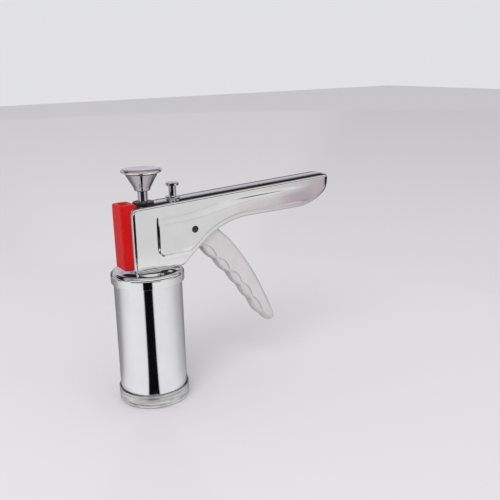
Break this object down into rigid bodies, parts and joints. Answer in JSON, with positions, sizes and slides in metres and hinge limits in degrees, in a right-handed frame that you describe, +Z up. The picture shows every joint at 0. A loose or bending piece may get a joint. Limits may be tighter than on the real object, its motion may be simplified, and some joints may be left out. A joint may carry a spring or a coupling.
{
  "type": "lever-operated sevai press",
  "caption": "Gun-type kitchen press with a ratchet plunger, a barrel on a bayonet cap, a turning lower ring with a perforated die, a release pin and a trigger with finger grips.",
  "frame": {"origin": "barrel axis in the plane of the lower ring's foot, centre of the outlet", "axes": "+Z up along the barrel and plunger, +X towards the end of the handle, +Y across the body"},
  "size_m": [0.2024, 0.058, 0.1873],
  "materials": {
    "ring_steel": "turned steel, satin",
    "die_steel": "satin steel sheet",
    "barrel_steel": "polished stainless steel",
    "cap_steel": "polished stainless steel",
    "body_steel": "polished stainless sheet",
    "cover_red": "glossy red moulding",
    "collar_black": "black moulding",
    "cast_alloy": "die-cast alloy",
    "fastener_steel": "bright steel",
    "rod_steel": "plated steel rod",
    "knob_steel": "polished steel",
    "piston_alloy": "turned alloy",
    "trigger_coat": "pale grey satin coat on cast alloy",
    "pin_black": "blackened steel",
    "pawl_steel": "hardened steel",
    "release_steel": "polished steel",
    "spring_wire": "spring wire"
  },
  "bodies": {
    "body": {"body_shell": "body_steel", "barrel_cap": "cap_steel", "front_cover": "cover_red", "top_collar": "collar_black", "mount_block": "cast_alloy", "lower_bush": "fastener_steel", "bush_nut": "fastener_steel", "pivot_pin": "pin_black", "pivot_spacer_near": "fastener_steel", "pivot_spacer_far": "fastener_steel", "release_sleeve": "release_steel", "lock_ledge": "cast_alloy", "spring_seat": "fastener_steel", "lock_spring": "spring_wire", "return_spring": "spring_wire"},
    "barrel": {"barrel_tube": "barrel_steel"},
    "outlet_ring": {"die_ring": "ring_steel", "sevai_die": "die_steel"},
    "plunger": {"plunger_rod": "rod_steel", "plunger_knob": "knob_steel", "piston_disc": "piston_alloy", "piston_nut": "fastener_steel"},
    "trigger": {"trigger_lever": "trigger_coat", "pawl_pin": "fastener_steel"},
    "pawl": {"drive_pawl": "pawl_steel"},
    "release": {"release_pin": "release_steel"},
    "lock": {"lock_plate": "pawl_steel"}
  },
  "joints": [
    {"name": "barrel_turn", "type": "hinge", "parent": "body", "child": "barrel", "pos_m": [0, 0, 0.1], "axis": [0, 0, 1], "range_deg": [-55, 0]},
    {"name": "ring_turn", "type": "hinge", "parent": "barrel", "child": "outlet_ring", "pos_m": [0, 0, 0], "axis": [0, 0, 1], "range_deg": [0, 340]},
    {"name": "plunger_slide", "type": "slide", "parent": "body", "child": "plunger", "axis": [0, 0, 1], "range_m": [0, 0.084]},
    {"name": "trigger_squeeze", "type": "hinge", "parent": "body", "child": "trigger", "pos_m": [0.0373, 0, 0.1372], "axis": [0, -1, 0], "range_deg": [0, 38], "stiffness_Nm_per_rad": 0.4, "springref_deg": -17.19, "deforming": ["return_spring"]},
    {"name": "pawl_turn", "type": "hinge", "parent": "trigger", "child": "pawl", "pos_m": [0.01348, 0, 0.14012], "axis": [0, -1, 0], "range_deg": [-40, 5]},
    {"name": "release_press", "type": "slide", "parent": "body", "child": "release", "axis": [0, 0, -1], "range_m": [0, 0.0025], "stiffness_N_per_m": 400, "springref_m": -0.001},
    {"name": "lock_tilt", "type": "hinge", "parent": "body", "child": "lock", "pos_m": [-0.009, 0, 0.1517], "axis": [0, 1, 0], "range_deg": [0, 4.3], "deforming": ["lock_spring"]}
  ],
  "couplings": [
    {"joint": "pawl_turn", "follows": "trigger_squeeze", "ratio": -1},
    {"joint": "lock_tilt", "follows": "release_press", "rad_per_m": 29.154}
  ]
}
